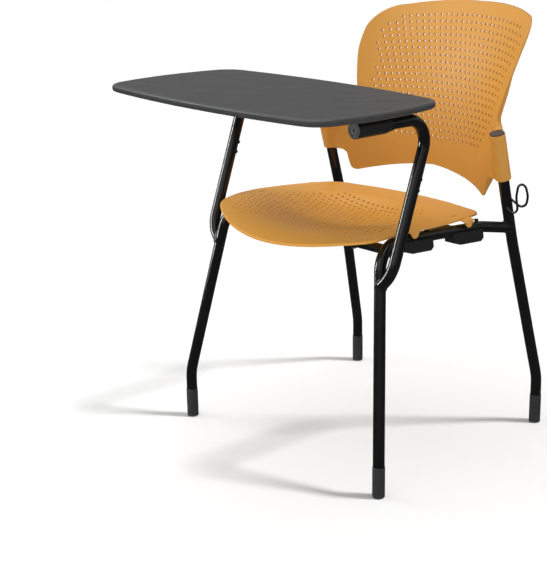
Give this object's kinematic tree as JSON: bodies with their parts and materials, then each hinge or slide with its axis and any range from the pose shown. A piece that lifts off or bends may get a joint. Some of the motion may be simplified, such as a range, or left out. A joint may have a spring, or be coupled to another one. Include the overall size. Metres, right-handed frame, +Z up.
{
  "type": "student desk chair",
  "caption": "Stacking school chair on a black tube frame with perforated plastic seat and back and a full-width writing tablet that flips up on one arm.",
  "frame": {"origin": "on the floor at the centre of the bounding box", "axes": "+Z up, the sitter faces -Y, +X is the sitter's left, the tablet's pivot side"},
  "size_m": [0.617, 0.7798, 0.8458],
  "materials": {
    "black_powder_coat": "glossy black powder coat on steel tube",
    "orange_shell": "fine-textured moulded polypropylene, soft sheen",
    "tablet_laminate": "charcoal laminate with a fine pebble texture",
    "tablet_edge": "moulded charcoal edge, satin",
    "pivot_plastic": "black glass-filled nylon, satin",
    "bush_plastic": "natural acetal",
    "glide_plastic": "dark grey nylon",
    "cap_plastic": "dark brown-grey moulded plastic",
    "black_rubber": "black moulded rubber",
    "zinc_steel": "zinc-plated steel"
  },
  "bodies": {
    "frame": {"front_leg_rail_left": "black_powder_coat", "front_leg_rail_right": "black_powder_coat", "rear_leg_left": "black_powder_coat", "rear_leg_right": "black_powder_coat", "front_crossbar": "black_powder_coat", "rear_crossbar": "black_powder_coat", "arm_left": "black_powder_coat", "arm_right": "black_powder_coat", "glide_front_left": "glide_plastic", "glide_front_right": "glide_plastic", "glide_rear_left": "glide_plastic", "glide_rear_right": "glide_plastic", "arm_bumpers": "black_rubber", "tablet_rest_pad": "black_rubber", "arm_end_plug": "black_rubber", "stacking_pad_front_left": "black_rubber", "stacking_pad_front_right": "black_rubber", "stacking_pad_rear_left": "black_rubber", "stacking_pad_rear_right": "black_rubber", "pad_pegs": "black_rubber", "seat_shell": "orange_shell", "seat_screws": "zinc_steel", "back_shell": "orange_shell", "socket_cap_left": "cap_plastic", "socket_cap_right": "cap_plastic", "back_screws": "zinc_steel", "ganging_loop": "black_powder_coat", "retaining_washer": "zinc_steel", "spindle_screw": "zinc_steel", "spindle_insert": "zinc_steel", "thrust_collar": "black_powder_coat"},
    "tablet": {"tablet_board": "tablet_laminate", "tablet_edge_band": "tablet_edge", "pivot_housing": "pivot_plastic", "pivot_end_cap": "pivot_plastic", "front_bush": "bush_plastic", "rear_bush": "bush_plastic", "tablet_screws": "zinc_steel"}
  },
  "joints": [
    {"name": "tablet_flip", "type": "hinge", "parent": "frame", "child": "tablet", "pos_m": [0.252, -0.2029, 0.6855], "axis": [0, 1, 0], "range_deg": [0, 95]}
  ]
}
